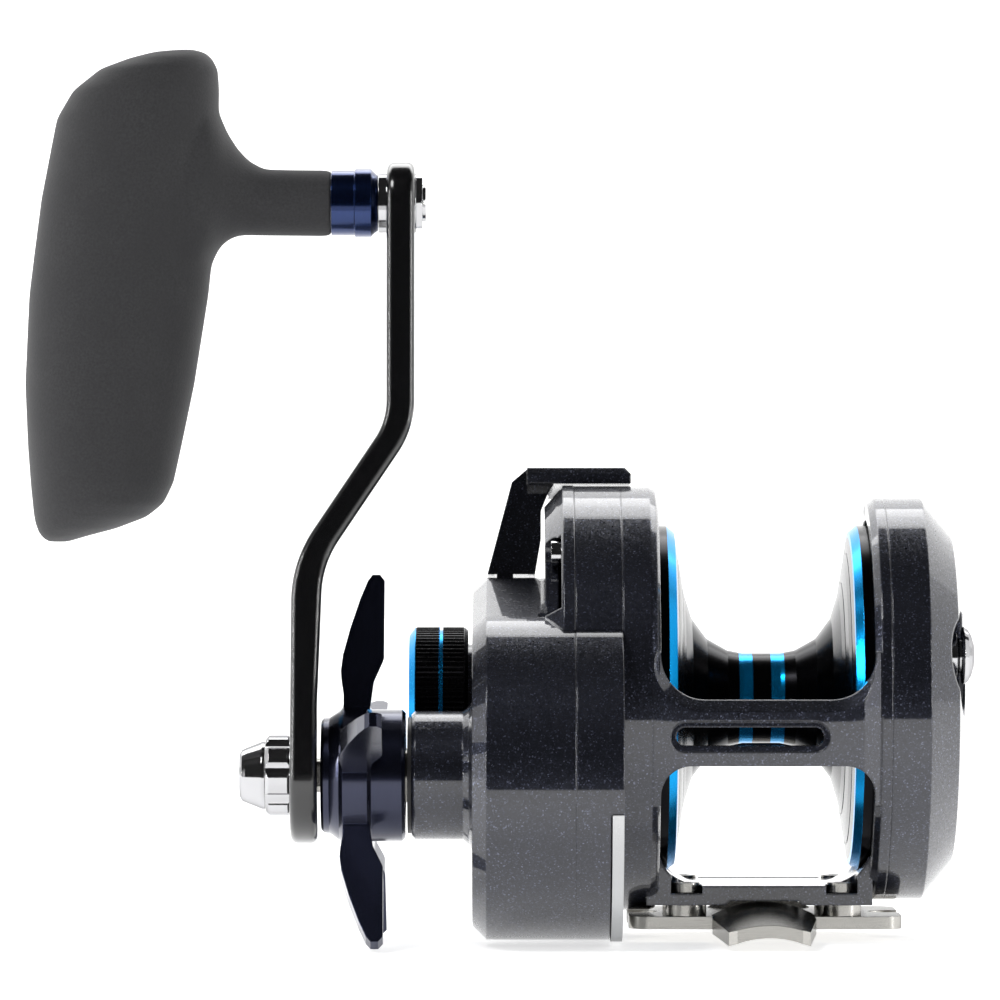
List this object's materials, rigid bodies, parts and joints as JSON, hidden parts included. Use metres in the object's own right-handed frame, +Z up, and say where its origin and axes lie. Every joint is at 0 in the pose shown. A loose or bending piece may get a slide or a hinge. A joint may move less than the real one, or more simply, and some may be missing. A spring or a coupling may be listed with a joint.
{
  "type": "trolling reel",
  "caption": "Trolling reel with bare spool in an open frame, star drag, bent handle arm with foam grip, free-spool lever, clicker and slotted foot.",
  "frame": {"origin": "centre of the flat underside of the reel foot", "axes": "+X along the spool axis away from the handle, -Y the front of the reel where the line leaves, +Z up from the foot"},
  "size_m": [0.1413, 0.083, 0.1321],
  "materials": {
    "blue_grey_coat": "dark blue-grey metallic paint under gloss clear coat",
    "black_anodised": "gloss black anodised aluminium",
    "blue_anodised": "bright blue anodised aluminium",
    "navy_anodised": "navy anodised semi-gloss",
    "silver_plate": "satin silver anodised",
    "stainless": "satin stainless steel",
    "chrome": "bright chrome plate",
    "gloss_black": "gloss black coat",
    "eva_foam": "matte dark grey foam",
    "bearing_steel": "ground bearing steel",
    "gear_brass": "machined brass",
    "carbon": "woven carbon friction washer",
    "black_plastic": "black polymer"
  },
  "bodies": {
    "case": {"frame": "blue_grey_coat", "inner_shell": "blue_grey_coat", "gear_cover": "blue_grey_coat", "backing_plate": "silver_plate", "cover_screws": "chrome", "palm_plate": "blue_grey_coat", "palm_screws": "chrome", "reel_foot": "stainless", "foot_spacers": "stainless", "foot_screws": "stainless", "foot_nuts": "stainless", "clutch_shell": "bearing_steel", "clutch_rollers": "bearing_steel", "boss_seal": "black_plastic", "case_bearing_outers": "bearing_steel", "case_bearing_balls": "bearing_steel", "pawl_pin": "stainless", "yoke_pins": "stainless", "yoke_springs": "bearing_steel"},
    "crank": {"main_shaft": "stainless", "main_gear": "gear_brass", "ratchet_wheel": "stainless", "carbon_washers": "carbon", "steel_washers": "stainless", "spring_washers": "stainless", "clutch_sleeve": "stainless", "crank_bearing_inners": "bearing_steel", "handle_arm": "gloss_black", "handle_nut": "chrome", "handle_cap": "chrome", "knob_spindle": "stainless", "spindle_nut": "chrome", "spindle_washers": "chrome", "grip_screw": "stainless", "grip_bearing_inners": "bearing_steel"},
    "spool": {"spool": "black_anodised", "spool_shaft": "stainless", "dog_pin": "stainless", "click_wheel": "stainless", "spool_bearing_inners": "bearing_steel"},
    "yoke": {"pinion_yoke": "black_plastic"},
    "pinion": {"pinion": "stainless"},
    "lever": {"clutch_lever": "blue_grey_coat", "cam_ring": "stainless", "cam_screw": "stainless"},
    "star": {"star_wheel": "navy_anodised"},
    "drag_nut": {"drag_nut": "gear_brass"},
    "grip": {"grip": "eva_foam", "grip_core": "silver_plate", "grip_collar": "blue_anodised", "grip_bearing_outers": "bearing_steel", "grip_bearing_balls": "bearing_steel"},
    "tension_knob": {"tension_knob": "black_anodised", "tension_disc": "carbon"},
    "clicker": {"clicker_button": "chrome", "clicker_tongue": "stainless"},
    "pawl": {"anti_reverse_pawl": "stainless"}
  },
  "joints": [
    {"name": "crank_turn", "type": "hinge", "parent": "case", "child": "crank", "pos_m": [0, -0.01934, 0.0233], "axis": [1, 0, 0], "continuous": true},
    {"name": "spool_spin", "type": "hinge", "parent": "case", "child": "spool", "pos_m": [0, 0, 0.0342], "axis": [1, 0, 0], "continuous": true},
    {"name": "clutch_lever_turn", "type": "hinge", "parent": "case", "child": "lever", "pos_m": [0, 0, 0.0342], "axis": [-1, 0, 0], "range_deg": [0, 28]},
    {"name": "yoke_slide", "type": "slide", "parent": "case", "child": "yoke", "axis": [-1, 0, 0], "range_m": [0, 0.0016], "deforming": ["yoke_springs"]},
    {"name": "pinion_slide", "type": "slide", "parent": "spool", "child": "pinion", "axis": [-1, 0, 0], "range_m": [0, 0.0016]},
    {"name": "star_turn", "type": "hinge", "parent": "crank", "child": "star", "pos_m": [0, -0.01934, 0.0233], "axis": [1, 0, 0], "range_deg": [-135, 135]},
    {"name": "drag_nut_slide", "type": "slide", "parent": "star", "child": "drag_nut", "axis": [1, 0, 0], "range_m": [-0.0003, 0.0003]},
    {"name": "grip_spin", "type": "hinge", "parent": "crank", "child": "grip", "pos_m": [0, -0.01934, 0.1083], "axis": [1, 0, 0], "continuous": true},
    {"name": "tension_knob_turn", "type": "hinge", "parent": "case", "child": "tension_knob", "pos_m": [0, 0, 0.0342], "axis": [1, 0, 0], "range_deg": [-180, 180]},
    {"name": "clicker_slide", "type": "slide", "parent": "case", "child": "clicker", "axis": [0, 0, -1], "range_m": [0, 0.0045]},
    {"name": "pawl_pivot", "type": "hinge", "parent": "case", "child": "pawl", "pos_m": [-0.0307, -0.01209, 0.01074], "axis": [-1, 0, 0], "range_deg": [0, 8]}
  ],
  "couplings": [
    {"joint": "spool_spin", "follows": "crank_turn", "ratio": -6.4},
    {"joint": "pinion_slide", "follows": "clutch_lever_turn", "m_per_rad": 0.003274},
    {"joint": "yoke_slide", "follows": "clutch_lever_turn", "m_per_rad": 0.003274},
    {"joint": "drag_nut_slide", "follows": "star_turn", "m_per_rad": 0.0001114}
  ]
}
